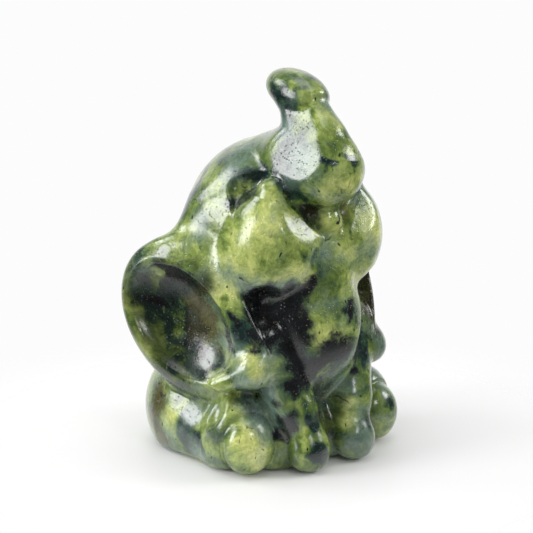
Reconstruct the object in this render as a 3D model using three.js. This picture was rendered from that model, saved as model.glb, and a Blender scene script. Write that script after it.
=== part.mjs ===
import * as THREE from 'three';

// A small jade carving of a seated elephant with its trunk thrown up over its brow.
// It is one solid of stone. Its surface lies where one distance-like function of a point is zero.
// Ovals and tapered limbs are merged and carved softly, then the surface is laid out as a mesh.
// Millimetres, +Z up. The elephant faces -Y. The origin is the middle of the ground it stands on.

// Driving sizes
const HEIGHT = 61.5; // from the flat underside to the top of the trunk
const FACET = 1.5; // side of a facet on the head and the front
const FACET_BEHIND = 1.9; // side of a facet on the plainer back
const FACET_GIVE = 0.25; // how far a corner may move onto the surface, as a share of a facet

// The pose is laid out on a figure 61.5 units high, so every form keeps its share of the height.
const UNIT = HEIGHT / 61.5;
const SEAM = 0.3; // how softly the left and right halves meet
const FOOT_EDGE = 1.2; // rounding where the sides meet the flat underside

// How softly two forms run into each other, in units
const CRISP = 0.9;
const CREASE = 1.5;
const SOFT = 1.8;
const ROUND = 2.2;
const BROAD = 3;

// Behind this line the neck, ears and back flow together more and more
const NAPE_STARTS = 1;
const NAPE_RUN = 8;
const NAPE_SOFTER = 3;

// Above this height the ear flows into the side of the head more and more
const EAR_SOFTENS = 25;
const EAR_RUN = 8;
const EAR_SOFTER = 2.5;

// Below this height the ear and the thigh flow together more and more
const LOBE_SOFTENS = 18;
const LOBE_RUN = 4;
const LOBE_SOFTER = 1.5;

const dot = (a, b) => a[0] * b[0] + a[1] * b[1] + a[2] * b[2];
const less = (a, b) => [a[0] - b[0], a[1] - b[1], a[2] - b[2]];
const plus = (a, b, share) => [a[0] + b[0] * share, a[1] + b[1] * share, a[2] + b[2] * share];
const cross = (a, b) => [
  a[1] * b[2] - a[2] * b[1],
  a[2] * b[0] - a[0] * b[2],
  a[0] * b[1] - a[1] * b[0],
];
const clamp = (value) => Math.min(1, Math.max(0, value));
const unit = (a) => {
  const length = Math.hypot(...a);
  return a.map((value) => value / length);
};

// An oval with one radius along a direction, one across it and one the way it faces
function oval({ centre, radii, along = [1, 0, 0], facing = [0, 0, 1] }) {
  const first = unit(along);
  const third = unit(plus(facing, first, -dot(facing, first)));
  const axes = [first, cross(third, first), third];
  return (p) => {
    const q = less(p, centre);
    const near = axes.map((axis, i) => dot(q, axis) / radii[i]);
    const steep = near.map((value, i) => value / radii[i]);
    const size = Math.hypot(...near);
    return (size * (size - 1)) / Math.max(Math.hypot(...steep), 1e-9);
  };
}

// A round limb from one point to another, its radius changing evenly on the way
function limb(from, to, radiusFrom, radiusTo) {
  const run = less(to, from);
  return (p) => {
    const q = less(p, from);
    const share = clamp(dot(q, run) / dot(run, run));
    return Math.hypot(...plus(q, run, -share)) - (radiusFrom + (radiusTo - radiusFrom) * share);
  };
}

// The union of two values, rounded over the given width
function merge(a, b, width) {
  const share = clamp(0.5 + (0.5 * (b - a)) / width);
  return b + (a - b) * share - width * share * (1 - share);
}

// What is left of a when b is cut from it, its edge rounded over the given width
const carve = (a, b, width) => -merge(-a, b, width);

// Forms merged one after another, each over its own width
const together = (first, ...others) => (p) => (
  others.reduce((sum, [form, width]) => merge(sum, form(p), width), first(p))
);

// How far a point lies beyond a plane, along the way that the plane faces
function plane(through, facing) {
  const out = unit(facing);
  return (p) => dot(less(p, through), out);
}

// Limbs through a row of joints, each joint a place and a radius
function chain(joints, width) {
  const limbs = joints.slice(1).map(([at, radius], i) => limb(joints[i][0], at, joints[i][1], radius));
  return together(limbs[0], ...limbs.slice(1).map((form) => [form, width]));
}

// The body sits upright on its haunches, its thighs lying forward along the ground
function makeBody() {
  const belly = oval({ centre: [0, 2.5, 10.5], radii: [13.5, 14.5, 19] });
  const chest = oval({ centre: [0, -7.8, 21.3], radii: [10.8, 10.5, 12.8] });
  const haunch = oval({ centre: [-8.2, 5, 6], radii: [10, 11.2, 10.8] });
  const thigh = limb([-10, 3.5, 5.2], [-12.6, -6.5, 3.6], 8.2, 5);
  const lap = oval({ centre: [-4, -10.5, 4], radii: [9, 5.5, 7] });
  const shoulder = oval({ centre: [-9.5, 3.5, 24], radii: [5.5, 6, 9] });
  const tail = chain([[[0, 15.2, 13], 1.4], [[0, 16.4, 8], 1.5], [[0, 16.5, 4], 2.3]], CREASE);
  return together(
    belly, [chest, BROAD], [haunch, BROAD], [thigh, ROUND], [lap, ROUND], [shoulder, BROAD],
    [tail, CREASE],
  );
}

// Skull and chin, less the hollow of the eye, with a full round cheek standing proud of it
function makeSkull() {
  const skull = together(
    oval({ centre: [0, -1.8, 36], radii: [14, 14.6, 14.7] }),
    [oval({ centre: [0, -8.6, 31], radii: [8.8, 9, 8.2] }), ROUND],
  );
  const eye = together(
    oval({
      centre: [-9.6, -10, 42.8],
      radii: [5.4, 3.3, 2.8],
      along: [-0.63, 0.22, -0.74],
      facing: [-0.72, -0.45, 0.52],
    }),
    [limb([-11, -7.2, 44.4], [-9, -10.5, 45.5], 2.2, 2.2), SOFT],
  );
  const cheek = together(
    oval({
      centre: [-6, -9.2, 35], radii: [9.8, 8, 8], along: [0.15, -0.3, 1], facing: [-0.7, -0.6, 0],
    }),
    [limb([-6.8, -10, 38], [-7.4, -10.8, 43.4], 5.5, 2.4), SOFT],
  );
  return (p) => merge(carve(skull(p), eye(p), CRISP), cheek(p), CREASE);
}

// The open mouth: a hollow under the trunk and a smile line up each side
function makeMouth() {
  const hollow = oval({ centre: [0, -17.6, 41.4], radii: [5.4, 4.4, 4.6], facing: [0, -0.3, 1] });
  const smile = limb([0, -17.4, 36.9], [-6.2, -14.6, 42.8], 1.2, 1.4);
  return together(hollow, [smile, CREASE]);
}

// The trunk bulges over the mouth, its flanks ground flat, then narrows and folds back to a tip
// with a flat end
function makeTrunk() {
  const snout = chain([
    [[0, -4.5, 44.5], 7.5],
    [[0, -10.5, 47.3], 6.8],
    [[0, -13.7, 47.1], 6.3],
    [[0, -12.7, 51], 4.5],
    [[0, -10.5, 54.2], 3.8],
    [[0, -8.5, 56.8], 3.6],
  ], SOFT);
  const flank = plane([-4.9, -14.6, 49.4], [-0.87, -0.25, 0.42]);
  const tip = oval({
    centre: [0, -7.8, 58], radii: [6.3, 4, 3.2], along: [0, 1, 0.28], facing: [0, -0.28, 1],
  });
  const end = plane([0, -13, 57], [-0.2, -1, -0.35]);
  return (p) => merge(carve(snout(p), -flank(p), CRISP), carve(tip(p), -end(p), CRISP), CREASE);
}

// A deep dish-shaped ear, its front edge cut crisply, with a lobe rolled forward at the lower front
function makeEar() {
  const leansBack = [-0.3, 0.6, 0.62];
  const flap = together(
    oval({
      centre: [-15, -1.2, 22.6], radii: [14.6, 11.4, 3.9], along: leansBack, facing: [-0.9, -0.44, 0],
    }),
    [oval({
      centre: [-9.9, -10.3, 23.8],
      radii: [9, 6, 2.8],
      along: [0.2, -0.46, -0.86],
      facing: [-0.75, -0.62, 0.1],
    }), ROUND],
  );
  const frontEdge = plane([-11.8, -11.2, 25.3], [0.72, -0.55, 0.4]);
  const dish = oval({
    centre: [-19.6, -1.6, 23], radii: [11.5, 7.9, 5.6], along: leansBack, facing: [-0.96, -0.28, 0.05],
  });
  const lobe = together(
    oval({
      centre: [-11.3, -11.4, 17.4],
      radii: [3.3, 3.3, 2.7],
      along: [0.44, -0.9, 0.1],
      facing: [-0.9, -0.44, 0],
    }),
    [limb([-15.5, -7.5, 13.9], [-12, -12, 16.2], 1.5, 2.4), ROUND],
  );
  return (p) => {
    const cut = carve(flap(p), -frontEdge(p), CRISP);
    return merge(carve(cut, dish(p), CREASE), lobe(p), CREASE);
  };
}

// A straight front leg from the shoulder to a broad round foot
function makeFrontLeg() {
  const leg = chain([[[-8, -9.6, 20.5], 4.8], [[-5.6, -14.2, 9.5], 3.6], [[-4.4, -16.2, 4], 2.9]], CREASE);
  return together(leg, [oval({ centre: [-4.7, -16.7, 3.4], radii: [3.5, 3.1, 3.7] }), CREASE]);
}

const body = makeBody();
const skull = makeSkull();
const mouth = makeMouth();
const tongue = oval({ centre: [0, -13.2, 38.6], radii: [3.1, 4.1, 3.8] });
const trunk = makeTrunk();
const earRoot = limb([-10, 0.5, 38], [-15, 3, 32.8], 4.6, 2.5);
const ear = makeEar();
const frontLeg = makeFrontLeg();
const ankle = oval({ centre: [-12.4, -8.8, 6.2], radii: [5.3, 5.2, 6.2] });
const pad = oval({ centre: [-12.9, -12, 4.9], radii: [4.3, 3.6, 4.9] });
const kneeHollow = oval({ centre: [-17, -7.4, 10.4], radii: [2.4, 2.4, 3] });
const throat = limb([-10.6, -13.6, 27], [-8.3, -16.6, 18], 1.8, 2.2);

// The whole figure as one value: below zero in the stone, above zero in the air, in units
function figure(x, y, z) {
  const p = [-Math.hypot(x, SEAM), y, z];
  const nape = NAPE_SOFTER * clamp((y - NAPE_STARTS) / NAPE_RUN);
  const earTop = EAR_SOFTER * clamp((z - EAR_SOFTENS) / EAR_RUN);
  const earFoot = LOBE_SOFTER * clamp((LOBE_SOFTENS - z) / LOBE_RUN);
  let head = carve(skull(p), mouth(p), CREASE);
  head = merge(head, tongue(p), CREASE);
  head = merge(head, trunk(p), CREASE);
  head = merge(head, earRoot(p), BROAD);
  let value = merge(body(p), head, SOFT + nape);
  value = carve(value, throat(p), ROUND);
  value = merge(value, ear(p), CREASE + Math.max(nape, earTop, earFoot));
  value = merge(value, frontLeg(p), CREASE);
  value = merge(value, ankle(p), CREASE);
  value = merge(value, pad(p), CREASE);
  value = carve(value, kneeHollow(p), CREASE);
  return -merge(-value, z, FOOT_EDGE);
}

// Lines from low to high, their spacing changing evenly from the first to the last
function spacedLines(low, high, first, last) {
  const count = Math.round((high - low) / ((first + last) / 2));
  return Array.from({ length: count + 1 }, (_, i) => {
    const share = i / count;
    const way = (first * share + ((last - first) * share * share) / 2) / ((first + last) / 2);
    return low + (high - low) * way;
  });
}

// A point moved onto the surface along the steepest way there, and no further than it may go
function settle(start, furthest) {
  const step = 0.02;
  const shallowest = 0.2;
  const turns = 4;
  let p = start;
  for (let turn = 0; turn < turns; turn += 1) {
    const [x, y, z] = p;
    const value = figure(x, y, z);
    const slope = [
      (figure(x + step, y, z) - figure(x - step, y, z)) / (2 * step),
      (figure(x, y + step, z) - figure(x, y - step, z)) / (2 * step),
      (figure(x, y, z + step) - figure(x, y, z - step)) / (2 * step),
    ];
    p = plus(p, slope, -value / Math.max(dot(slope, slope), shallowest));
  }
  const moved = less(p, start);
  return plus(start, moved, Math.min(1, furthest / Math.max(Math.hypot(...moved), 1e-9)));
}

// Corners moved to the mean of their neighbours and back onto the surface, a few times over
function relax(points, faces, furthest) {
  const turns = 4;
  let now = points;
  for (let turn = 0; turn < turns; turn += 1) {
    const sums = now.map(() => [0, 0, 0]);
    const shared = now.map(() => 0);
    faces.forEach((one, n) => {
      const two = faces[n % 3 === 2 ? n - 2 : n + 1];
      sums[one] = plus(sums[one], now[two], 1);
      shared[one] += 1;
    });
    now = sums.map((sum, n) => settle(sum.map((value) => value / shared[n]), furthest));
  }
  return now;
}

const STEPS = [[1, 0, 0], [0, 1, 0], [0, 0, 1]];
const CELL = [0, 1, 2, 3, 4, 5, 6, 7].map((n) => [n & 1, (n >> 1) & 1, (n >> 2) & 1]);
const SQUARE = [[0, 0], [1, 0], [1, 1], [0, 1]];

// Fills gaps too tight for the grid, where stone would meet stone only along a line or at a point
function closeTightGaps(values, counts, id) {
  const filled = -0.02;
  const loose = (ids) => {
    const inside = ids.map((n) => values[n] < 0);
    const total = inside.filter(Boolean).length;
    if (ids.length === 4) return total === 2 && inside[0] === inside[2];
    return [0, 1, 2, 3].some((n) => (
      inside[n] === inside[7 - n] && (total === (inside[n] ? 2 : 6))
    ));
  };
  let changed = true;
  const mend = (ids) => {
    if (!loose(ids)) return;
    const nearest = ids.filter((n) => values[n] >= 0).reduce((a, b) => (values[a] < values[b] ? a : b));
    values[nearest] = filled;
    changed = true;
  };
  while (changed) {
    changed = false;
    for (let i = 0; i < counts[0] - 1; i += 1) {
      for (let j = 0; j < counts[1] - 1; j += 1) {
        for (let k = 0; k < counts[2] - 1; k += 1) {
          STEPS.forEach((_, axis) => {
            const u = STEPS[(axis + 1) % 3];
            const v = STEPS[(axis + 2) % 3];
            mend(SQUARE.map(([a, b]) => (
              id(i + u[0] * a + v[0] * b, j + u[1] * a + v[1] * b, k + u[2] * a + v[2] * b)
            )));
          });
          mend(CELL.map(([a, b, c]) => id(i + a, j + b, k + c)));
        }
      }
    }
  }
}

// The surface as a mesh: one corner in each cell that it passes through, one four-sided facet
// across each grid edge that it crosses, split along its shorter diagonal
function carveMesh(xs, ys, zs, furthest) {
  const counts = [xs.length, ys.length, zs.length];
  const id = (i, j, k) => (i * counts[1] + j) * counts[2] + k;
  const values = new Float64Array(counts[0] * counts[1] * counts[2]);
  xs.forEach((x, i) => ys.forEach((y, j) => zs.forEach((z, k) => {
    values[id(i, j, k)] = figure(x, y, z);
  })));
  closeTightGaps(values, counts, id);

  const crossing = (i, j, k, [di, dj, dk]) => {
    const from = values[id(i, j, k)];
    const to = values[id(i + di, j + dj, k + dk)];
    if (from < 0 === to < 0) return null;
    const share = from / (from - to);
    return [
      xs[i] + (xs[i + di] - xs[i]) * share,
      ys[j] + (ys[j + dj] - ys[j]) * share,
      zs[k] + (zs[k + dk] - zs[k]) * share,
    ];
  };

  const corners = new Map();
  const points = [];
  const cornerOf = (i, j, k) => {
    const key = id(i, j, k);
    if (!corners.has(key)) {
      const found = STEPS.flatMap((step, axis) => {
        const u = STEPS[(axis + 1) % 3];
        const v = STEPS[(axis + 2) % 3];
        return SQUARE.map(([a, b]) => (
          crossing(i + u[0] * a + v[0] * b, j + u[1] * a + v[1] * b, k + u[2] * a + v[2] * b, step)
        ));
      }).filter(Boolean);
      const middle = found.reduce((sum, at) => plus(sum, at, 1 / found.length), [0, 0, 0]);
      corners.set(key, points.length);
      points.push(settle(middle, furthest));
    }
    return corners.get(key);
  };

  const faces = [];
  const addFacet = (i, j, k, axis) => {
    const u = STEPS[(axis + 1) % 3];
    const v = STEPS[(axis + 2) % 3];
    const ring = SQUARE.map(([a, b]) => (
      cornerOf(i - u[0] * a - v[0] * b, j - u[1] * a - v[1] * b, k - u[2] * a - v[2] * b)
    ));
    if (values[id(i, j, k)] >= 0) ring.reverse();
    const [a, b, c, d] = ring;
    const across = (m, n) => Math.hypot(...less(points[m], points[n]));
    if (across(a, c) < across(b, d)) faces.push(a, b, c, a, c, d);
    else faces.push(a, b, d, b, c, d);
  };
  for (let i = 1; i < counts[0] - 1; i += 1) {
    for (let j = 1; j < counts[1] - 1; j += 1) {
      for (let k = 1; k < counts[2] - 1; k += 1) {
        STEPS.forEach((step, axis) => {
          if (crossing(i, j, k, step)) addFacet(i, j, k, axis);
        });
      }
    }
  }
  return { points: relax(points, faces, furthest), faces };
}

// The box that holds the figure, in units, found by looking for it at widely spaced points
function findBox() {
  const apart = 3;
  const reach = 14;
  const span = Array.from({ length: 2 * reach + 1 }, (_, n) => (n - reach) * apart);
  const low = [Infinity, Infinity, Infinity];
  const high = [-Infinity, -Infinity, -Infinity];
  span.forEach((x) => span.forEach((y) => span.forEach((rise) => {
    const p = [x, y, rise + reach * apart];
    if (figure(...p) > apart) return;
    p.forEach((value, n) => {
      low[n] = Math.min(low[n], value);
      high[n] = Math.max(high[n], value);
    });
  })));
  return { low: low.map((value) => value - apart), high: high.map((value) => value + apart) };
}

// The carving in millimetres, its underside laid exactly on the ground
function makeElephant() {
  const facet = FACET / UNIT;
  const behind = FACET_BEHIND / UNIT;
  const { low, high } = findBox();
  const xs = spacedLines(low[0], high[0], facet, facet);
  const ys = spacedLines(low[1], high[1], facet, behind);
  const zs = spacedLines(low[2], high[2], facet, facet);
  const { points, faces } = carveMesh(xs, ys, zs, facet * FACET_GIVE);
  const flat = 0.01;
  const positions = points.flatMap(([x, y, z]) => [x, y, z < flat ? 0 : z].map((value) => value * UNIT));
  const geometry = new THREE.BufferGeometry();
  geometry.setAttribute('position', new THREE.Float32BufferAttribute(positions, 3));
  geometry.setIndex(faces);
  geometry.computeVertexNormals();
  return geometry;
}

// Polished mottled green nephrite jade
const jade = new THREE.MeshStandardMaterial({ color: 0x6f8a4a, roughness: 0.15, metalness: 0 });

const elephant = new THREE.Mesh(makeElephant(), jade);
elephant.name = 'elephant';

const figurine = new THREE.Group();
figurine.add(elephant);

export default figurine;
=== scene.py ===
"""A small polished jade carving of a seated elephant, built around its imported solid."""

import math

import bpy
import numpy as np
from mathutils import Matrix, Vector


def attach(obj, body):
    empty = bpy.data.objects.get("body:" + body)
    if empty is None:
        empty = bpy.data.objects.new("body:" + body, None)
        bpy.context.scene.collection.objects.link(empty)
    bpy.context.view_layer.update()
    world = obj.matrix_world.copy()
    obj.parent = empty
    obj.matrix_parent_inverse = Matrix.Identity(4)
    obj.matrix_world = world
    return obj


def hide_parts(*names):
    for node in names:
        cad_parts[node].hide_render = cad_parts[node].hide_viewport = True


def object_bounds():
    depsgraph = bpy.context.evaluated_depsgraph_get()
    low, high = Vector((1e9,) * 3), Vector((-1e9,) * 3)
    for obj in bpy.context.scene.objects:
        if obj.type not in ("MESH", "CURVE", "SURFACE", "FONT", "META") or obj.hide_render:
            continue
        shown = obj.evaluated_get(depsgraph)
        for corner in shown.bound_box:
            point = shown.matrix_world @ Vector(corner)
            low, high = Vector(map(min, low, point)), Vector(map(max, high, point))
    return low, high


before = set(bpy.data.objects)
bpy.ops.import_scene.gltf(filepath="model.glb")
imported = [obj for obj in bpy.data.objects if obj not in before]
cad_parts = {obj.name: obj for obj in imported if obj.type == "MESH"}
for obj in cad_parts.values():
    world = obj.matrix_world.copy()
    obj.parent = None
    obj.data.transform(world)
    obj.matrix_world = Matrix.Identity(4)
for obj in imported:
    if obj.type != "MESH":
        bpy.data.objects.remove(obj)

bl_info = {
    "name": "Jade elephant figurine",
    "version": (1, 0, 0),
    "blender": (4, 5, 0),
    "location": "3D View > Sidebar > Jade elephant",
    "description": "Carves, colours and lights a small seated elephant of mottled jade",
    "category": "Add Mesh",
}

CAD_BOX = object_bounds()
FIGURE_HIGH = 61.5  # height of the figure in the units that its forms are given in
UNIT = (CAD_BOX[1].z - CAD_BOX[0].z) / FIGURE_HIGH  # one such unit in metres, about a millimetre
MM = 0.001

# How softly two forms run into each other, in units
CRISP = 0.5
CREASE = 0.9
SOLE = 1.2  # round the flat underside
SOFT = 1.3
ROUND = 2.0
BROAD = 3.0
NAPE_MORE = 3.0  # added behind the head
EAR_MORE = 2.5  # added at the top of the ear

SEAM = 0.3  # the least size that x is read as, in units, which rounds the crease down the middle
GROOVE_WIDE = 0.5  # the groove round a hind foot's pad, in units
GROOVE_DEEP = 0.4

# How the surface is found, in units but for the first
MARGIN = 3  # steps of the grid left free around the figure
FILLED = -0.02  # what a grid point holds once it is filled
NEAR = 0.02  # how far to either side of a point its slope is measured
LEAST_SQUARE = 0.2  # the least that the square of a slope counts as, so that no move is too long
FLAT = 0.02  # a corner lower than this is put down on the floor


def linear(code, alpha=1.0):
    """An sRGB colour in hex as linear values: c / 12.92 or ((c + 0.055) / 1.055) ** 2.4."""
    parts = [int(code[n : n + 2], 16) / 255 for n in (1, 3, 5)]
    return tuple(c / 12.92 if c <= 0.04045 else ((c + 0.055) / 1.055) ** 2.4 for c in parts) + (alpha,)


def dot(a, b):
    """The sum of the products of three coordinates."""
    return a[0] * b[0] + a[1] * b[1] + a[2] * b[2]


def length(a):
    """The length of a vector, or of an array of them given as three arrays."""
    return np.sqrt(dot(a, a))


def unit(a):
    """The vector at length one."""
    return tuple(np.array(a, float) / length(a))


def way_from(value, start, end):
    """How far the value has come from start to end, as a share that stays within 0 and 1."""
    return np.clip((value - start) / (end - start), 0, 1)


def oval(p, centre, radii, along=(1, 0, 0), facing=(0, 0, 1)):
    """How far p lies outside an oval: n (n - 1) / g, where n is the length of the offset from the
    centre over the radii, and g that of the offset over the radii squared. The radii run along,
    across and facing."""
    first = unit(along)
    lean = dot(facing, first)
    third = unit([f - a * lean for f, a in zip(facing, first)])
    axes = (first, tuple(np.cross(third, first)), third)
    offset = [value - at for value, at in zip(p, centre)]
    near = [dot(offset, axis) / radius for axis, radius in zip(axes, radii)]
    size = length(near)
    steep = length([value / radius for value, radius in zip(near, radii)])
    return size * (size - 1) / np.maximum(steep, 1e-9)


def limb(p, start, end, radius_start, radius_end):
    """How far p lies outside a round limb: its distance from the nearest point of the line from
    start to end, less the radius there, which changes evenly on the way."""
    run = [b - a for a, b in zip(start, end)]
    offset = [value - a for value, a in zip(p, start)]
    share = np.clip(dot(offset, run) / dot(run, run), 0, 1)
    away = [value - r * share for value, r in zip(offset, run)]
    return length(away) - (radius_start + (radius_end - radius_start) * share)


def plane(p, through, facing):
    """How far p lies beyond a plane, along the way that the plane faces."""
    return dot([value - at for value, at in zip(p, through)], unit(facing))


def merge(a, b, width):
    """The smaller of two values, rounded where they are within the width of each other:
    b + (a - b) h - width h (1 - h), with h = 0.5 + (b - a) / (2 width) kept within 0 and 1."""
    share = np.clip(0.5 + 0.5 * (b - a) / width, 0, 1)
    return b + (a - b) * share - width * share * (1 - share)


def carve(a, b, width):
    """What is left of a when b is cut from it: minus the merge of minus a and b. What lies beyond
    a plane is cut away with minus the plane."""
    return -merge(-a, b, width)


def chain(p, joints, width):
    """Limbs through a row of joints, each a place and a radius, merged one after another."""
    limbs = [limb(p, here, there, one, two) for (here, one), (there, two) in zip(joints, joints[1:])]
    value = limbs[0]
    for piece in limbs[1:]:
        value = merge(value, piece, width)
    return value


def body(p):
    """Belly, chest, haunch, thigh, lap, shoulder and tail, merged. It sits on its haunches."""
    value = oval(p, centre=(0, 2.5, 10.5), radii=(13.5, 14.5, 19))
    value = merge(value, oval(p, centre=(0, -7.8, 21.3), radii=(10.8, 10.5, 12.8)), BROAD)
    value = merge(value, oval(p, centre=(-8.2, 5, 6), radii=(10, 11.2, 10.8)), BROAD)
    value = merge(value, limb(p, (-10, 3.5, 5.2), (-12.6, -6.5, 3.6), 8.2, 5), ROUND)
    value = merge(value, oval(p, centre=(-4, -10.5, 4), radii=(9, 5.5, 7)), ROUND)
    value = merge(value, oval(p, centre=(-9.5, 3.5, 24), radii=(5.5, 6, 9)), BROAD)
    tail = chain(p, [((0, 15.2, 13), 1.4), ((0, 16.4, 8), 1.5), ((0, 16.5, 4), 2.3)], CREASE)
    return merge(value, tail, CREASE)


def skull(p):
    """Skull and chin, less the hollow of the eye, and the cheek standing proud of it, merged. The
    cheek has a bevel beside the corner of the mouth."""
    value = merge(
        oval(p, centre=(0, -1.8, 36), radii=(14, 14.6, 14.7)),
        oval(p, centre=(0, -8.6, 31), radii=(8.8, 9, 8.2)),
        ROUND,
    )
    eye = oval(
        p,
        centre=(-9.6, -10, 42.8),
        radii=(5.4, 3.3, 2.8),
        along=(-0.63, 0.22, -0.74),
        facing=(-0.72, -0.45, 0.52),
    )
    eye = merge(eye, limb(p, (-11, -7.2, 44.4), (-9, -10.5, 45.5), 2.2, 2.2), SOFT)
    value = carve(value, eye, CRISP)
    cheek = oval(
        p, centre=(-6, -9.2, 35), radii=(9.8, 8, 8), along=(0.15, -0.3, 1), facing=(-0.7, -0.6, 0)
    )
    cheek = merge(cheek, limb(p, (-6.8, -10, 38), (-7.4, -10.8, 43.4), 5.5, 2.4), SOFT)
    bevel = plane(p, through=(-5.2, -16.2, 38.3), facing=(0.07, -0.88, 0.47))
    return merge(value, carve(cheek, -bevel, CRISP), CREASE)


def mouth(p):
    """A hollow under the trunk, a smile line running up from it and a drilled corner, merged."""
    hollow = oval(
        p, centre=(0, -17.6, 41.4), radii=(5.4, 4.4, 4.6), along=(1, 0, 0), facing=(0, -0.3, 1)
    )
    hollow = merge(hollow, limb(p, (0, -17.4, 36.7), (-6.2, -14.6, 42.6), 0.9, 1.0), CREASE)
    return merge(hollow, oval(p, centre=(-6.3, -13.9, 43.5), radii=(0.9, 1.6, 0.9)), CRISP)


def trunk(p):
    """A chain of limbs that bulges over the mouth, narrows and folds back, with its flanks ground
    flat, and an oval tip cut off flat in front."""
    snout = chain(
        p,
        [
            ((0, -4.5, 44.5), 7.5),
            ((0, -10.5, 47.3), 6.8),
            ((0, -13.7, 47.1), 6.3),
            ((0, -12.7, 51), 4.5),
            ((0, -10.5, 54.2), 3.8),
            ((0, -8.5, 56.8), 3.6),
        ],
        SOFT,
    )
    flank = plane(p, through=(-4.9, -14.6, 49.4), facing=(-0.87, -0.25, 0.42))
    tip = oval(p, centre=(0, -7.8, 58), radii=(6.3, 4, 3.2), along=(0, 1, 0.28), facing=(0, -0.28, 1))
    end = plane(p, through=(0, -13, 57), facing=(-0.2, -1, -0.35))
    return merge(carve(snout, -flank, CRISP), carve(tip, -end, CRISP), CREASE)


def ear(p):
    """A flat oval flap and its thick front edge, cut to a crisp corner and less a dish, with a
    lobe rolled forward."""
    leans_back = (-0.3, 0.6, 0.62)
    flap = oval(
        p, centre=(-15, -1.2, 22.6), radii=(14.6, 11.4, 3.9), along=leans_back, facing=(-0.9, -0.44, 0)
    )
    front = oval(
        p,
        centre=(-9.9, -10.3, 23.8),
        radii=(9, 6, 2.8),
        along=(0.2, -0.46, -0.86),
        facing=(-0.75, -0.62, 0.1),
    )
    corner = plane(p, through=(-11.8, -11.2, 25.3), facing=(0.72, -0.55, 0.4))
    flap = carve(merge(flap, front, ROUND), -corner, CRISP)
    dish = oval(
        p, centre=(-19.6, -1.6, 23), radii=(11.5, 7.9, 5.6), along=leans_back, facing=(-0.96, -0.28, 0.05)
    )
    lobe = oval(
        p,
        centre=(-11.3, -11.4, 17.4),
        radii=(3.3, 3.3, 2.7),
        along=(0.44, -0.9, 0.1),
        facing=(-0.9, -0.44, 0),
    )
    lobe = merge(lobe, limb(p, (-15.5, -7.5, 13.9), (-12, -12, 16.2), 1.5, 2.4), ROUND)
    return merge(carve(flap, dish, CREASE), lobe, CREASE)


def front_leg(p):
    """A chain of limbs down from the shoulder and a broad oval foot."""
    leg = chain(p, [((-8, -9.6, 20.5), 4.8), ((-5.6, -14.2, 9.5), 3.6), ((-4.4, -16.2, 4), 2.9)], CREASE)
    return merge(leg, oval(p, centre=(-4.7, -16.7, 3.4), radii=(3.5, 3.1, 3.7)), CREASE)


def hind_foot(value, p):
    """The value with an ankle, and in front of it a pad in a shallow ring-shaped groove."""
    value = merge(value, oval(p, centre=(-12.4, -8.8, 6.2), radii=(5.3, 5.2, 6.2)), CREASE)
    pad = oval(p, centre=(-12.9, -12, 4.9), radii=(4.3, 3.6, 4.9))
    grooved = merge(carve(value, pad - GROOVE_WIDE, CRISP), value + GROOVE_DEEP, CRISP)
    return merge(grooved, pad, CRISP)


def figure(x, y, z):
    """The whole carving as one value, below zero in the stone: the forms merged and carved, the
    right half mirrored by reading x as minus its size, and the underside cut flat at zero height."""
    p = (-np.hypot(x, SEAM), y, z)
    nape = NAPE_MORE * way_from(y, 1, 9)
    ear_top = EAR_MORE * way_from(z, 25, 33)
    tongue = oval(p, centre=(0, -13.2, 38.6), radii=(3.1, 4.1, 3.8))
    ear_root = limb(p, (-10, 0.5, 38), (-15, 3, 32.8), 4.6, 2.5)
    throat = limb(p, (-10.6, -13.6, 27), (-8.3, -16.6, 18), 1.8, 2.2)
    knee_hollow = oval(p, centre=(-17, -7.4, 10.4), radii=(2.4, 2.4, 3.0))
    head = merge(carve(skull(p), mouth(p), CRISP), tongue, CRISP)
    head = merge(merge(head, trunk(p), CREASE), ear_root, BROAD)
    value = merge(body(p), head, SOFT + nape)
    value = carve(value, throat, ROUND)
    value = merge(value, ear(p), CREASE + np.maximum(nape, ear_top))
    value = hind_foot(merge(value, front_leg(p), CREASE), p)
    return carve(carve(value, knee_hollow, CREASE), z, SOLE)


SQUARE = ((0, 0), (1, 0), (1, 1), (0, 1))
STEPS = np.eye(3, dtype=int)


def close_tight_gaps(values):
    """Fills grid points until no face of the grid has stone at two opposite corners alone, so that
    the surface never touches itself along a line."""
    changed = True
    while changed:
        changed = False
        for axis in range(3):
            u, v = [n for n in range(3) if n != axis]
            slabs = []
            for a, b in SQUARE:
                part = [slice(None)] * 3
                part[u] = slice(a, values.shape[u] - 1 + a)
                part[v] = slice(b, values.shape[v] - 1 + b)
                slabs.append(values[tuple(part)])
            stone = [slab < 0 for slab in slabs]
            # Corners 0 and 2 of the square lie opposite each other, and so do 1 and 3
            for solid, bare in ((0, 1), (1, 0)):
                one, two = slabs[bare], slabs[bare + 2]
                loose = stone[solid] & stone[solid + 2] & ~stone[bare] & ~stone[bare + 2]
                nearer = one <= two
                one[loose & nearer] = FILLED
                two[loose & ~nearer] = FILLED
                changed = changed or bool(loose.any())


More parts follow.
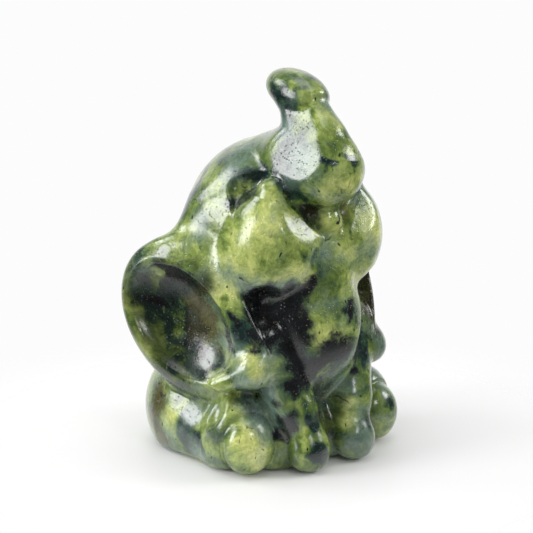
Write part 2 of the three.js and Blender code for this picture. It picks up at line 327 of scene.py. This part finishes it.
def surface_net(values, low, step):
    """Corners and four-sided faces of the surface where the values pass zero. A cell that it
    passes through has one corner, the mean of the zero points on the cell's edges, and a grid edge
    that it crosses has one face, through the corners of the four cells around that edge."""
    stone = values < 0
    sums = np.zeros((values.size, 3))
    hits = np.zeros(values.size)
    rings = []
    for axis in range(3):
        part = tuple(slice(None, -1) if n == axis else slice(None) for n in range(3))
        nexts = tuple(slice(1, None) if n == axis else slice(None) for n in range(3))
        start = np.argwhere(stone[part] != stone[nexts])
        one = values[tuple(start.T)]
        two = values[tuple((start + STEPS[axis]).T)]
        zero = start + STEPS[axis] * (one / (one - two))[:, None]
        u, v = STEPS[(axis + 1) % 3], STEPS[(axis + 2) % 3]
        cells = [tuple((start - u * a - v * b).T) for a, b in SQUARE]
        ring = np.stack([np.ravel_multi_index(cell, values.shape) for cell in cells], axis=1)
        for side in ring.T:
            hits += np.bincount(side, minlength=values.size)
            for n in range(3):
                sums[:, n] += np.bincount(side, weights=zero[:, n], minlength=values.size)
        rings.append(np.where((one < 0)[:, None], ring, ring[:, ::-1]))
    used = hits > 0
    corners = low + step * sums[used] / hits[used][:, None]
    order = np.cumsum(used) - 1
    return corners, order[np.concatenate(rings)]


def slope_of(points):
    """The value's rise along each axis, by differences of it a little to either side."""
    rises = []
    for axis in np.eye(3) * NEAR:
        rises.append((figure(*(points + axis).T) - figure(*(points - axis).T)) / (2 * NEAR))
    return np.stack(rises, axis=1)


def settle(points, turns):
    """Moves points onto the surface: less the value times the slope over the slope squared."""
    for _ in range(turns):
        slope = slope_of(points)
        square = np.maximum((slope**2).sum(axis=1), LEAST_SQUARE)
        points = points - slope * (figure(*points.T) / square)[:, None]
    return points


def relax(points, faces, turns):
    """Moves each corner to the mean of those it shares an edge with, then back to the surface."""
    one = faces.ravel()
    two = np.roll(faces, -1, axis=1).ravel()
    total = len(points)
    shared = np.bincount(one, minlength=total)[:, None]
    for _ in range(turns):
        sums = [np.bincount(one, weights=points[two, n], minlength=total) for n in range(3)]
        points = settle(np.stack(sums, axis=1) / shared, turns=1)
    return settle(points, turns=1)


def lay_out(step):
    """The carving's corners and faces in units: its values on a grid, and the net of their zeros."""
    low = np.array(CAD_BOX[0]) / UNIT - MARGIN * step
    high = np.array(CAD_BOX[1]) / UNIT + MARGIN * step
    values = figure(*np.ix_(*[np.arange(a, b, step) for a, b in zip(low, high)]))
    close_tight_gaps(values)
    corners, faces = surface_net(values, low, step)
    corners = relax(settle(corners, turns=3), faces, turns=2)
    corners[:, 2] = np.where(corners[:, 2] < FLAT, 0, corners[:, 2])
    return corners, faces


def mesh_from(name, corners, faces, normals):
    """A mesh object at the origin from arrays of corners in metres, four-sided faces and normals."""
    mesh = bpy.data.meshes.new(name)
    mesh.vertices.add(len(corners))
    mesh.vertices.foreach_set("co", corners.astype(np.float32).ravel())
    mesh.loops.add(faces.size)
    mesh.loops.foreach_set("vertex_index", faces.astype(np.int32).ravel())
    mesh.polygons.add(len(faces))
    mesh.polygons.foreach_set("loop_start", np.arange(0, faces.size, 4, dtype=np.int32))
    mesh.polygons.foreach_set("use_smooth", np.ones(len(faces), dtype=bool))
    mesh.update(calc_edges=True)
    mesh.normals_split_custom_set_from_vertices(normals)
    piece = bpy.data.objects.new(name, mesh)
    bpy.context.scene.collection.objects.link(piece)
    return piece


# Where the stone is lighter or darker than around it, and where shade is painted into its colour: a name,
# the ends of the patch's middle line and its radius, in units
PALE = (
    ("near_cheek", (-10.5, -14, 40.5), (-13.5, -11, 31.5), 4.2),
    ("front_of_cheek", (-9, -15.5, 37), (-5.5, -17.5, 37), 2.6),
    ("jaw", (-12.5, -11.5, 31), (-6, -16.5, 32.5), 2.4),
    ("far_cheek", (7, -17, 38.5), (8.5, -15.5, 33), 3.6),
    ("chin_side", (3.5, -17, 33.5), (9, -13.5, 29), 1.8),
    ("tongue", (-1.5, -17, 38.5), (2, -17, 39), 1.4),
    ("trunk_bulge", (-3, -19, 45), (2, -19.5, 46), 2),
    ("skull", (-11, -1, 45), (-12.5, -2, 41), 1.8),
    ("trunk_top", (-1, -8.5, 60.5), (0, -11.5, 59.5), 1),
    ("trunk_front", (0, -17.5, 54), (1, -15.5, 57), 1),
    ("trunk_side", (-3.5, -12, 52.5), (-2.5, -12.5, 57), 1),
    ("chest", (-3.5, -17.5, 25), (-1, -17.5, 22.5), 2.6),
    ("chest_side", (2, -17.5, 28), (4, -17, 30), 1.8),
    ("lobe", (-12, -13.5, 18.8), (-12.5, -14, 17.5), 2.6),
    ("hind_pad", (-15, -15, 7.5), (-15, -15, 3.5), 2.4),
    ("near_leg", (-7.5, -17.5, 10.5), (-7, -18, 8), 1.5),
    ("near_foot", (-6, -19, 6.5), (-6.5, -18.8, 5.5), 0.9),
    ("far_leg", (2.6, -17.2, 9), (3, -18, 6.5), 1.1),
    ("flap", (-15, -6.5, 30.5), (-15, -8, 28), 1.6),
    ("flap_front", (-13.5, -10.2, 27.2), (-13, -11.5, 25.6), 0.8),
    ("ear_rim", (-21.5, 9.5, 28), (-21.5, 5, 18.5), 1.4),
    ("ear_bottom", (-19, 1, 14), (-14, -9, 14), 1.2),
    ("rump", (-18.5, 2.5, 9), (-18.5, 1.5, 6), 1.6),
)
# Darker stone; the patches in the ear's dish are partly darker stone and partly painted shade
DEEP = (
    ("trunk_tip", (-4, -6.5, 58), (-3.8, -10.5, 57.5), 1.4),
    ("trunk_neck", (-3.8, -9.5, 55.8), (-3.4, -10.8, 54.2), 1.1),
    ("trunk_leaf", (-3.6, -18, 49.8), (-3.2, -18.7, 49.5), 0.5),
    ("trunk_spot", (-2.8, -19.5, 48.8), (-2.2, -19.7, 47.9), 0.6),
    ("trunk_edge", (1, -20, 48.7), (2, -19.8, 47.8), 0.9),
    ("trunk_root", (-6.5, -12, 46), (-5.2, -14.5, 44), 1.3),
    ("flank", (-4, -10.8, 55), (-6.2, -13, 48), 2.2),
    ("brow", (-10, -6, 45.5), (-7.5, -9, 45.5), 1.2),
    ("skull", (-9, 3.5, 47), (-12.5, 3, 42), 0.8),
    ("skull_top", (-4, -5, 49.5), (-6, -1, 49.5), 0.7),
    ("under_cheek", (-13, -10.5, 29.3), (-7, -16, 30.5), 0.9),
    ("chin", (-4.4, -16.8, 34.8), (-4.6, -16.9, 32.8), 0.6),
    ("flap_top", (-15, -8.2, 27.1), (-14.7, -8.9, 26.2), 0.8),
    ("flap", (-13.8, -10.6, 23), (-13.3, -11.4, 20.6), 1.4),
    # In the ear's dish: darker stone together with painted shade
    ("bowl", (-17, 3.5, 26.5), (-15, -1, 18.5), 1.8),
    ("bowl_vein", (-17.5, 6, 24.5), (-16, 0, 18), 1.6),
    ("bowl_low", (-16, -1, 17.5), (-14, -5, 17), 1.2),
    ("eye", (-9.7, -7.4, 44.5), (-11, -7, 42), 1.4),
    ("near_foot", (-5, -19.4, 4.6), (-4, -19.5, 3), 1.4),
    ("near_knee", (-5.5, -18, 10), (-4.5, -18, 8.5), 0.8),
    ("between_legs", (-3, -16.5, 13), (-2.5, -16.5, 8), 1.2),
    ("far_leg", (2.5, -17.5, 13), (3, -18, 11), 0.9),
    ("far_foot", (4, -19, 5), (5, -19, 4), 0.7),
    ("far_hind_foot", (12, -15, 10), (13, -15, 7), 1),
    ("rump", (-18.3, -2, 9), (-17.5, -2, 3), 1.5),
    ("rump_streak", (-18, -4.5, 8), (-16.5, -6.5, 2), 0.8),
    ("thigh_top", (-17, 3, 13.5), (-15, -3, 13.5), 1.3),
    ("ankle", (-12, -12.5, 11.5), (-10.5, -13, 9), 1),
    ("lap", (-10, -13.5, 12.5), (-13, -11.5, 13), 1.1),
    ("mouth", (-4, -15, 41), (-2.5, -14, 38), 1.5),
    ("smile", (-6.3, -14.6, 43), (-4, -16.2, 39.8), 0.7),
    ("chin_low", (-3, -17, 33.5), (-3.5, -17, 32), 0.5),
    ("far_side", (6, -15, 20), (7, -14, 14), 1.5),
    ("far_haunch", (17.5, 3, 10), (17.5, -3, 5), 2.2),
    ("far_skull", (11, 1, 46), (13.5, -3, 40), 1.4),
    ("far_bowl", (17, 1, 26), (16, 1, 19), 2.4),
    ("back", (-5, 13, 30), (-9, 12, 22), 2.2),
    ("back_low", (8, 17, 12), (4, 17.5, 6), 2.4),
    ("nape", (6, 11, 40), (2, 12.5, 36), 1.8),
)
ASH = (
    ("under_jaw", (-4.5, -16.5, 30.2), (-9, -13.5, 28.8), 1),
    ("neck", (-10, -11.5, 28), (-9, -13, 22), 2.4),
    ("throat", (-7, -14.5, 27), (-6.8, -15, 20), 2.2),
    ("chest", (-6.5, -16, 16), (1, -18, 19.5), 2),
    ("belly", (-8, -16, 15), (-8.7, -15.2, 6), 1.2),
    ("bowl_top", (-18.8, 2.5, 31.2), (-15.8, -1.5, 31.2), 1.4),
    ("bowl_blotch", (-17, 2.2, 29.2), (-16, 0.6, 28.4), 1.7),
    ("bowl_vein", (-18.5, 6, 26), (-16.5, 1.5, 21), 0.8),
    ("bowl_bottom", (-17, 1, 20), (-14.5, -4, 16.5), 0.8),
    ("flap_edge", (-13.2, -6.8, 22.6), (-13.9, -10, 19.8), 0.9),
    ("flap_grey", (-14.3, -9.6, 25.3), (-13.9, -10.4, 24.2), 0.7),
    ("chest_spot", (2.5, -17.8, 25.5), (3, -17.8, 24.5), 0.8),
    ("far_side", (4.5, -16.5, 14), (5, -16.5, 18), 0.8),
    ("far_flap", (13.5, -9, 26), (13, -11, 20), 1),
    ("back", (-10, 14, 14), (-13, 11, 8), 1.6),
    ("shoulder", (12, 9, 28), (10, 13, 20), 1.7),
)
BROWN = (
    ("bowl", (-14.2, -1.9, 27), (-13.8, -2, 21), 3.2),
    ("flap", (-12, -12.9, 22.6), (-11.6, -13.2, 21.2), 1),
    ("rump", (-18.5, 6, 10), (-18, 5, 3), 2),
    ("throat", (-8.5, -13.5, 25), (-8, -14.5, 21), 1.2),
    ("far_ear", (12.5, -11, 26), (12, -12, 20), 2.5),
    ("mouth", (-3, -14, 40.5), (3, -14, 40.5), 2),
)
# Painted shade, darkening the colour: the ear's dish, the eye, the mouth, the ankle, under the ear, between
# the legs, and the far foot and ear
PAINTED_SHADE = (
    ("bowl", (-19, 7.2, 27), (-17, 1, 16.8), 5),
    ("bowl_upper", (-17.5, 1, 31), (-15, -3, 29), 2.6),
    ("bowl_lower", (-16, 0, 17), (-14, -5, 17.5), 1.8),
    ("eye", (-9.7, -7.6, 44.3), (-11, -7.2, 42), 1.8),
    ("mouth", (-4.5, -15.5, 41), (-1, -15, 38.8), 1.6),
    ("ankle", (-13.5, -10.7, 11.8), (-11.5, -10.6, 12.2), 1.6),
    ("thigh_top", (-17, 3, 13.5), (-15, -3, 13.5), 1.6),
    ("between_legs", (-1, -15, 13), (-1, -15, 6), 2.5),
    ("far_foot", (6.5, -18, 6), (7, -17.5, 3), 1.5),
    ("far_ear", (13, -9, 27), (12, -11, 20), 4),
)
STAINS = {"pale": PALE, "deep": DEEP, "ash": ASH, "brown": BROWN, "dull": PAINTED_SHADE}

# What pushes the patches' outlines about: how far, how many radians it turns in a unit, and the
# coordinates that it is worked out from
PUSHES = ((0.7, 0.9, [1, 2, 0]), (0.35, 2.3, [2, 0, 1]))
FAR_OUTSIDE = -3.0  # the least depth that is told apart, in a patch's radii


def depth_in(points, patches):
    """How far each point lies inside the patches, as a share of a patch's radius: 1 on its middle
    line, 0 on its edge and below 0 outside it. The points are first pushed about by sines of their
    own other coordinates, so that no patch keeps an even outline."""
    pushed = points
    for reach, rate, others in PUSHES:
        pushed = pushed + reach * np.sin(rate * points[:, others])
    value = np.full(len(points), FAR_OUTSIDE)
    for _, start, end, radius in patches:
        value = np.maximum(value, -limb(pushed.T, start, end, radius, radius) / radius)
    return value


# Settings that many of the nodes share
SMOOTH = {"interpolation_type": "SMOOTHSTEP"}
MIXED_COLOUR = {"data_type": "RGBA"}
PLUS = {"operation": "ADD"}
MINUS = {"operation": "SUBTRACT"}
TIMES = {"operation": "MULTIPLY"}
TIMES_PLUS = {"operation": "MULTIPLY_ADD"}
UNDER = {"operation": "LESS_THAN"}


def add_node(tree, kind, settings=None, **links):
    """A shader node with its settings, and with its inputs set, or linked to a socket or to a
    node's first output in use. An input's name is given in lower case with underscores, or as a
    number after an underscore."""
    node = tree.nodes.new(kind)
    for key, value in (settings or {}).items():
        setattr(node, key, value)
    for key, value in links.items():
        if key.startswith("_"):
            socket = node.inputs[int(key[1:])]
        else:
            socket = next(s for s in node.inputs if s.name.lower().replace(" ", "_") == key and s.enabled)
        if isinstance(value, bpy.types.Node):
            value = next(s for s in value.outputs if s.enabled)
        if isinstance(value, bpy.types.NodeSocket):
            tree.links.new(value, socket)
        else:
            socket.default_value = value
    return node


def empty_tree(owner):
    """The node tree of a material or a world, with nothing in it yet."""
    owner.use_nodes = True
    owner.node_tree.nodes.clear()
    return owner.node_tree


def green_clouds(tree, flow, frayed, colours):
    """Clouds of lighter and darker green, raised in the pale patches and lowered in the deep ones."""
    clouds = add_node(tree, "ShaderNodeTexNoise", vector=flow, scale=1 / (6 * MM), detail=9, roughness=0.6)
    paler = add_node(tree, "ShaderNodeMapRange", SMOOTH, _0=frayed["pale"], _1=0.6, _2=2.6, _4=0.19)
    deeper = add_node(tree, "ShaderNodeMapRange", SMOOTH, _0=frayed["deep"], _1=0.9, _2=2.4, _4=0.32)
    lifted = add_node(tree, "ShaderNodeMath", PLUS, _0=clouds, _1=paler)
    tone = add_node(tree, "ShaderNodeMath", MINUS, _0=lifted, _1=deeper)
    ramp = add_node(tree, "ShaderNodeValToRGB", _0=tone)
    stops = (
        (0.24, colours.teal),
        (0.38, colours.forest),
        (0.49, colours.olive),
        (0.60, colours.leaf),
        (0.76, colours.lime),
    )
    elements = ramp.color_ramp.elements
    for n, (at, colour) in enumerate(stops):
        element = elements[n] if n < len(elements) else elements.new(at)
        element.position = at
        element.color = colour
    return ramp


def veins(tree, flow, fray):
    """How much of a thin dark vein there is: where a broad noise passes its middle, and there in
    some places only."""
    ridge = add_node(tree, "ShaderNodeTexNoise", vector=flow, scale=1 / (11 * MM), detail=3, roughness=0.5)
    off_ridge = add_node(tree, "ShaderNodeMath", MINUS, _0=ridge, _1=0.5)
    away = add_node(tree, "ShaderNodeMath", {"operation": "ABSOLUTE"}, _0=off_ridge)
    line = add_node(tree, "ShaderNodeMapRange", SMOOTH, _0=away, _1=0.002, _2=0.012, _3=1.0, _4=0.0)
    somewhere = add_node(tree, "ShaderNodeMapRange", SMOOTH, _0=fray, _1=0.5, _2=0.62, _4=0.8)
    return add_node(tree, "ShaderNodeMath", TIMES, _0=line, _1=somewhere)


def flecks(tree, flow):
    """How much of a dark fleck there is. They are drawn out upwards, one in a cell, and only in
    cells whose random colour is dark."""
    drawn_out = add_node(tree, "ShaderNodeVectorMath", TIMES, _0=flow, _1=(1.5, 1.2, 0.6))
    cells = add_node(tree, "ShaderNodeTexVoronoi", vector=drawn_out, scale=1 / (1.5 * MM))
    away = cells.outputs["Distance"]
    near = add_node(tree, "ShaderNodeMapRange", SMOOTH, _0=away, _1=0.1, _2=0.24, _3=1.0, _4=0.0)
    chosen = add_node(tree, "ShaderNodeMath", UNDER, _0=cells.outputs["Color"], _1=0.3)
    return add_node(tree, "ShaderNodeMath", TIMES, _0=near, _1=chosen)


def grains(tree, place, ashen):
    """How much of a fine grain there is: one in a cell, in the ash and black alone, and only in
    cells whose random colour is dark."""
    cells = add_node(tree, "ShaderNodeTexVoronoi", vector=place, scale=1 / (0.7 * MM))
    away = cells.outputs["Distance"]
    near = add_node(tree, "ShaderNodeMapRange", SMOOTH, _0=away, _1=0.08, _2=0.22, _3=0.5, _4=0.0)
    in_ash = add_node(tree, "ShaderNodeMath", TIMES, _0=near, _1=ashen)
    few = add_node(tree, "ShaderNodeMath", UNDER, _0=cells.outputs["Color"], _1=0.28)
    return add_node(tree, "ShaderNodeMath", TIMES, _0=in_ash, _1=few)


def polish(tree, place, fray):
    """The shader's inputs for the polish: fine wear marks of uneven roughness, pits and a slight
    hand-ground waviness, and a skin on top that is scuffed in places."""
    wear = add_node(
        tree, "ShaderNodeTexNoise", vector=place, scale=1 / (0.35 * MM), detail=6, roughness=0.75
    )
    roughness = add_node(tree, "ShaderNodeMapRange", _0=wear, _1=0.35, _2=0.65, _3=0.1, _4=0.3)
    wave = add_node(tree, "ShaderNodeTexNoise", vector=place, scale=1 / (4 * MM), detail=2)
    wavy = add_node(tree, "ShaderNodeBump", height=wave, strength=0.35, distance=0.25 * MM)
    dots = add_node(tree, "ShaderNodeTexVoronoi", vector=place, scale=1 / (0.45 * MM))
    away = dots.outputs["Distance"]
    off_dot = add_node(tree, "ShaderNodeMapRange", SMOOTH, _0=away, _1=0.1, _2=0.34, _3=0.0, _4=1.0)
    whole = add_node(
        tree, "ShaderNodeMath", {"operation": "GREATER_THAN"}, _0=dots.outputs["Color"], _1=0.45
    )
    level = add_node(tree, "ShaderNodeMath", {"operation": "MAXIMUM"}, _0=off_dot, _1=whole)
    pitted = add_node(tree, "ShaderNodeBump", height=level, strength=0.8, distance=0.05 * MM, normal=wavy)
    worn = add_node(tree, "ShaderNodeMapRange", SMOOTH, _0=fray, _1=0.46, _2=0.6, _3=0.1, _4=1.0)
    scuffs = add_node(tree, "ShaderNodeMath", TIMES, _0=wear, _1=worn)
    skin = add_node(tree, "ShaderNodeBump", height=scuffs, strength=1.0, distance=0.025 * MM, normal=pitted)
    relief = add_node(tree, "ShaderNodeBump", height=wear, strength=0.4, distance=0.04 * MM, normal=pitted)
    return {"roughness": roughness, "normal": relief, "coat_normal": skin}


def nephrite(colours):
    """Nephrite jade: a tough felted stone, ground and buffed until it shines like oil on water.
    Its patches are read from the carving's own values and frayed: pale, ash and brown are the stone's own
    colours, deep is darker stone and in the ear's dish partly painted shade, and the last darkens the
    colour with painted shade in the hollows and on the far side."""
    material = bpy.data.materials.new("polished_nephrite_jade")
    tree = empty_tree(material)
    stain = {
        name: add_node(tree, "ShaderNodeAttribute", {"attribute_name": name}).outputs["Fac"]
        for name in STAINS
    }
    place = add_node(tree, "ShaderNodeTexCoord").outputs["Object"]

    # The places are pushed about by a broad swirl, so that the patterns laid on them flow
    swirl = add_node(tree, "ShaderNodeTexNoise", vector=place, scale=1 / (8 * MM), detail=4)
    push = (8 * MM, 8 * MM, 8 * MM)
    flow = add_node(tree, "ShaderNodeVectorMath", TIMES_PLUS, _0=swirl.outputs["Color"], _1=push, _2=place)

    # A finer noise frays the edges of the patches
    fray = add_node(tree, "ShaderNodeTexNoise", vector=flow, scale=1 / (2 * MM), detail=8, roughness=0.7)
    frayed = {
        name: add_node(tree, "ShaderNodeMath", TIMES_PLUS, _0=fray, _1=3.2, _2=value)
        for name, value in stain.items()
    }

    # Over the green lie a cool mist where the swirl is strong, brown iron staining, and patches of
    # ash grey with an edge of slate green and black in the middle
    colour = green_clouds(tree, flow, frayed, colours)
    misty = add_node(tree, "ShaderNodeMapRange", SMOOTH, _0=swirl, _1=0.46, _2=0.68, _4=0.8)
    rusty = add_node(tree, "ShaderNodeMapRange", SMOOTH, _0=frayed["brown"], _1=1.1, _2=2.3, _4=0.85)
    edge = add_node(tree, "ShaderNodeMapRange", SMOOTH, _0=frayed["ash"], _1=0.7, _2=1.5, _4=0.75)
    ashen = add_node(tree, "ShaderNodeMapRange", SMOOTH, _0=frayed["ash"], _1=1.2, _2=1.8)
    middle = add_node(tree, "ShaderNodeMapRange", SMOOTH, _0=frayed["ash"], _1=1.9, _2=2.6)
    dark = add_node(tree, "ShaderNodeMix", MIXED_COLOUR, _0=middle, _6=colours.ash, _7=colours.black)
    layers = (
        (misty, colours.mist),
        (rusty, colours.umber),
        (edge, colours.slate),
        (ashen, dark),
        (veins(tree, flow, fray), colours.teal),
        (flecks(tree, flow), colours.teal),
        (grains(tree, place, ashen), colours.gold),
    )
    for share, over in layers:
        colour = add_node(tree, "ShaderNodeMix", MIXED_COLOUR, _0=share, _6=colour, _7=over)

    # A felted cloudiness of the finest size over everything, and painted shade that darkens the colour in
    # the hollows and on the far side
    felt = add_node(tree, "ShaderNodeTexNoise", vector=flow, scale=1 / (0.6 * MM), detail=5, roughness=0.7)
    shade = add_node(tree, "ShaderNodeMapRange", _0=felt, _1=0.3, _2=0.7, _3=0.66, _4=1.26)
    # Painted shade: the colour is darkened to 0.38 of itself in the hollows and on the far side
    dull = add_node(tree, "ShaderNodeMapRange", SMOOTH, _0=frayed["dull"], _1=0.9, _2=2.2, _3=1.0, _4=0.38)
    dimmed = add_node(tree, "ShaderNodeMath", TIMES, _0=shade, _1=dull)
    colour = add_node(tree, "ShaderNodeVectorMath", {"operation": "SCALE"}, vector=colour, scale=dimmed)

    # A little light passes under the surface, and a coat gives the buffed shine
    shader = add_node(
        tree,
        "ShaderNodeBsdfPrincipled",
        base_color=colour,
        ior=1.61,
        subsurface_weight=0.12,
        subsurface_radius=(1.0, 1.3, 0.5),
        subsurface_scale=1.0 * MM,
        coat_weight=0.7,
        coat_roughness=0.05,
        coat_ior=1.5,
        **polish(tree, place, fray),
    )
    add_node(tree, "ShaderNodeOutputMaterial", surface=shader)
    return material


AIM = Vector((0, 0, 29 * MM))  # the middle of the figure, which the camera and the lamps face
LENS_MM = 100
SENSOR_MM = 36
BACKDROP = (0.616, 0.788, 0.0)  # the way from the figure to the white backdrop
FLOOR_HALF = 1.0  # from the middle of the floor to each side, in metres
FADE_FROM, FADE_TO = 15 * MM, 70 * MM  # how far from its middle the floor begins and ends to fade

# Name, direction from the figure, distance, width and height in metres, and brightness
LIGHTS = (
    ("key_left", (-0.86, 0.28, 0.34), 0.5, (0.2, 0.34), 7.5),
    ("back_top", (-0.45, 0.6, 0.62), 0.55, (0.2, 0.16), 6),
    ("overhead", (0.0, 0.0, 1.0), 0.6, (0.4, 0.4), 1.7),
    ("fill_right", (0.74, -0.47, 0.48), 0.55, (0.2, 0.2), 7.5),
    ("front", (-0.1, -0.9, 0.5), 0.6, (0.1, 0.1), 9),
)


def turned_to(direction):
    """The rotation of a lamp or camera whose back faces the direction."""
    return Vector(direction).to_track_quat("Z", "Y").to_euler()


def add_light(name, direction, distance, size, brightness):
    """A soft rectangular lamp at the distance from the figure, facing it. Its power is its
    brightness times its area times pi."""
    lamp = bpy.data.lights.new(name, "AREA")
    lamp.shape = "RECTANGLE"
    lamp.size, lamp.size_y = size
    lamp.energy = brightness * size[0] * size[1] * math.pi
    holder = bpy.data.objects.new(name, lamp)
    holder.location = AIM + Vector(direction).normalized() * distance
    holder.rotation_euler = turned_to(direction)
    bpy.context.scene.collection.objects.link(holder)


def add_floor():
    """A pale floor with its top at zero height. It fades away into the white behind the figure."""
    mesh = bpy.data.meshes.new("floor")
    corners = [(a * FLOOR_HALF, b * FLOOR_HALF, 0) for a, b in ((-1, -1), (1, -1), (1, 1), (-1, 1))]
    mesh.from_pydata(corners, [], [(0, 1, 2, 3)])
    floor = bpy.data.objects.new("floor", mesh)
    material = bpy.data.materials.new("white_acrylic_board")
    tree = empty_tree(material)
    place = add_node(tree, "ShaderNodeTexCoord").outputs["Object"]
    away = add_node(tree, "ShaderNodeVectorMath", {"operation": "LENGTH"}, vector=place)
    faded = add_node(tree, "ShaderNodeMapRange", SMOOTH, _0=away, _1=FADE_FROM, _2=FADE_TO)
    board = add_node(tree, "ShaderNodeBsdfPrincipled", base_color=linear("#EDEDED"), roughness=0.5)
    gone = add_node(tree, "ShaderNodeBsdfTransparent")
    both = add_node(tree, "ShaderNodeMixShader", _0=faded, _1=board, _2=gone)
    add_node(tree, "ShaderNodeOutputMaterial", surface=both)
    mesh.materials.append(material)
    bpy.context.scene.collection.objects.link(floor)


def add_sky(scene):
    """White behind the figure and pale walls that light it. Its polish reflects a dimmer room, as
    between black screens, but for the white backdrop behind it."""
    scene.world = bpy.data.worlds.new("studio")
    tree = empty_tree(scene.world)
    seen = add_node(tree, "ShaderNodeBackground", color=linear("#FCFCFC"), strength=1.0)
    walls = add_node(tree, "ShaderNodeBackground", color=linear("#FFFFFF"), strength=0.65)
    dim = add_node(tree, "ShaderNodeBackground", color=linear("#FFFFFF"), strength=0.05)
    place = add_node(tree, "ShaderNodeTexCoord").outputs["Generated"]
    towards = add_node(tree, "ShaderNodeVectorMath", {"operation": "DOT_PRODUCT"}, _0=place, _1=BACKDROP)
    on_backdrop = add_node(tree, "ShaderNodeMapRange", SMOOTH, _0=towards, _1=0.5, _2=0.85)
    mirrored = add_node(tree, "ShaderNodeMixShader", _0=on_backdrop, _1=dim, _2=seen)
    ray = add_node(tree, "ShaderNodeLightPath").outputs
    room = add_node(tree, "ShaderNodeMixShader", _0=ray["Is Glossy Ray"], _1=walls, _2=mirrored)
    both = add_node(tree, "ShaderNodeMixShader", _0=ray["Is Camera Ray"], _1=room, _2=seen)
    add_node(tree, "ShaderNodeOutputWorld", surface=both)


def add_camera(scene, sizes):
    """A camera on a sphere round the figure, looking at its middle as the photograph does."""
    a, e = sizes.azimuth, sizes.elevation
    back = Vector((math.sin(a) * math.cos(e), -math.cos(a) * math.cos(e), math.sin(e)))
    camera = bpy.data.cameras.new("camera")
    camera.lens = LENS_MM
    camera.sensor_width = SENSOR_MM
    camera.clip_start = 10 * MM
    holder = bpy.data.objects.new("camera", camera)
    holder.location = AIM + back * sizes.distance
    holder.rotation_euler = turned_to(back)
    scene.collection.objects.link(holder)
    scene.camera = holder
    scene.view_settings.view_transform = "Standard"


def stone_colour(name, description, code):
    """A colour setting."""
    return bpy.props.FloatVectorProperty(
        name=name, description=description, subtype="COLOR", size=4, min=0, max=1, default=linear(code)
    )


class JadeColours(bpy.types.PropertyGroup):
    """The stone's colours."""

    lime: stone_colour("Lime", "The palest yellow green", "#C2C977")
    leaf: stone_colour("Leaf", "The light green beside it", "#8B9D4F")
    olive: stone_colour("Olive", "The middle green that most of the stone has", "#596F30")
    forest: stone_colour("Forest", "The dark green at the edge of the clouds", "#28432F")
    teal: stone_colour("Teal", "The blue green of the deepest patches, veins and flecks", "#0F2422")
    umber: stone_colour("Umber", "The brown of iron staining", "#524A2A")
    ash: stone_colour("Ash", "The grey of the dark patches", "#15171A")
    mist: stone_colour("Mist", "A cool grey green that drifts over the others", "#6A8074")
    slate: stone_colour("Slate", "The cold green round the dark patches", "#263B37")
    black: stone_colour("Black", "The middle of the dark patches", "#070808")
    gold: stone_colour("Gold", "The fine grains in the ash and black", "#A08F55")


class CarvingSizes(bpy.types.PropertyGroup):
    """Sizes of the carving's surface."""

    grid: bpy.props.FloatProperty(
        name="Grid",
        description="Spacing of the grid that the carved surface is laid out on",
        unit="LENGTH",
        default=0.36 * MM,
        min=0.3 * MM,
        precision=5,
    )


class StageSizes(bpy.types.PropertyGroup):
    """Where the camera stands."""

    azimuth: bpy.props.FloatProperty(
        name="Azimuth",
        description="How far round the figure the camera stands, from straight in front",
        subtype="ANGLE",
        default=math.radians(-38),
    )
    elevation: bpy.props.FloatProperty(
        name="Elevation",
        description="How far above the horizon the camera stands",
        subtype="ANGLE",
        default=math.radians(13),
    )
    distance: bpy.props.FloatProperty(
        name="Distance",
        description="From the camera to the middle of the figure",
        unit="LENGTH",
        default=240 * MM,
    )


class JADE_OT_carving(bpy.types.Operator):
    """Carve the elephant from one stone and polish it"""

    bl_idname = "jade.carving"
    bl_label = "Elephant"

    def execute(self, context):
        corners, faces = lay_out(context.scene.carving_sizes.grid / UNIT)
        slope = slope_of(corners)
        normals = slope / np.linalg.norm(slope, axis=1)[:, None]
        normals[corners[:, 2] <= 0] = (0, 0, -1)
        piece = mesh_from("carving", corners * UNIT, faces, normals)
        for name, patches in STAINS.items():
            stain = piece.data.attributes.new(name, "FLOAT", "POINT")
            stain.data.foreach_set("value", depth_in(corners, patches))
        piece.data.materials.append(nephrite(context.scene.jade_colours))
        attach(piece, "root")
        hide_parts("elephant")
        return {"FINISHED"}


class JADE_OT_stage(bpy.types.Operator):
    """Lay the pale floor, hang the soft lights and set up the camera"""

    bl_idname = "jade.stage"
    bl_label = "Stage"

    def execute(self, context):
        add_floor()
        add_sky(context.scene)
        for light in LIGHTS:
            add_light(*light)
        add_camera(context.scene, context.scene.stage_sizes)
        return {"FINISHED"}


class JADE_PT_panel(bpy.types.Panel):
    """Everything that makes the figurine, in order"""

    bl_idname = "JADE_PT_panel"
    bl_label = "Jade elephant"
    bl_space_type = "VIEW_3D"
    bl_region_type = "UI"
    bl_category = "Jade elephant"

    def draw(self, context):
        layout = self.layout
        for group in GROUPS:
            settings = getattr(context.scene, group)
            for name in type(settings).__annotations__:
                layout.prop(settings, name)
        for operator in OPERATORS:
            layout.operator(operator.bl_idname)


GROUPS = {"carving_sizes": CarvingSizes, "jade_colours": JadeColours, "stage_sizes": StageSizes}
OPERATORS = (JADE_OT_carving, JADE_OT_stage)
CLASSES = (*GROUPS.values(), *OPERATORS, JADE_PT_panel)


def register():
    """Adds the classes and the groups of settings."""
    for entry in CLASSES:
        bpy.utils.register_class(entry)
    for name, group in GROUPS.items():
        setattr(bpy.types.Scene, name, bpy.props.PointerProperty(type=group))


def unregister():
    """Takes them away again."""
    for name in GROUPS:
        delattr(bpy.types.Scene, name)
    for entry in reversed(CLASSES):
        bpy.utils.unregister_class(entry)


def main():
    """Makes the carving and the stage."""
    register()
    bpy.ops.jade.carving()
    bpy.ops.jade.stage()


if __name__ == "__main__":
    main()
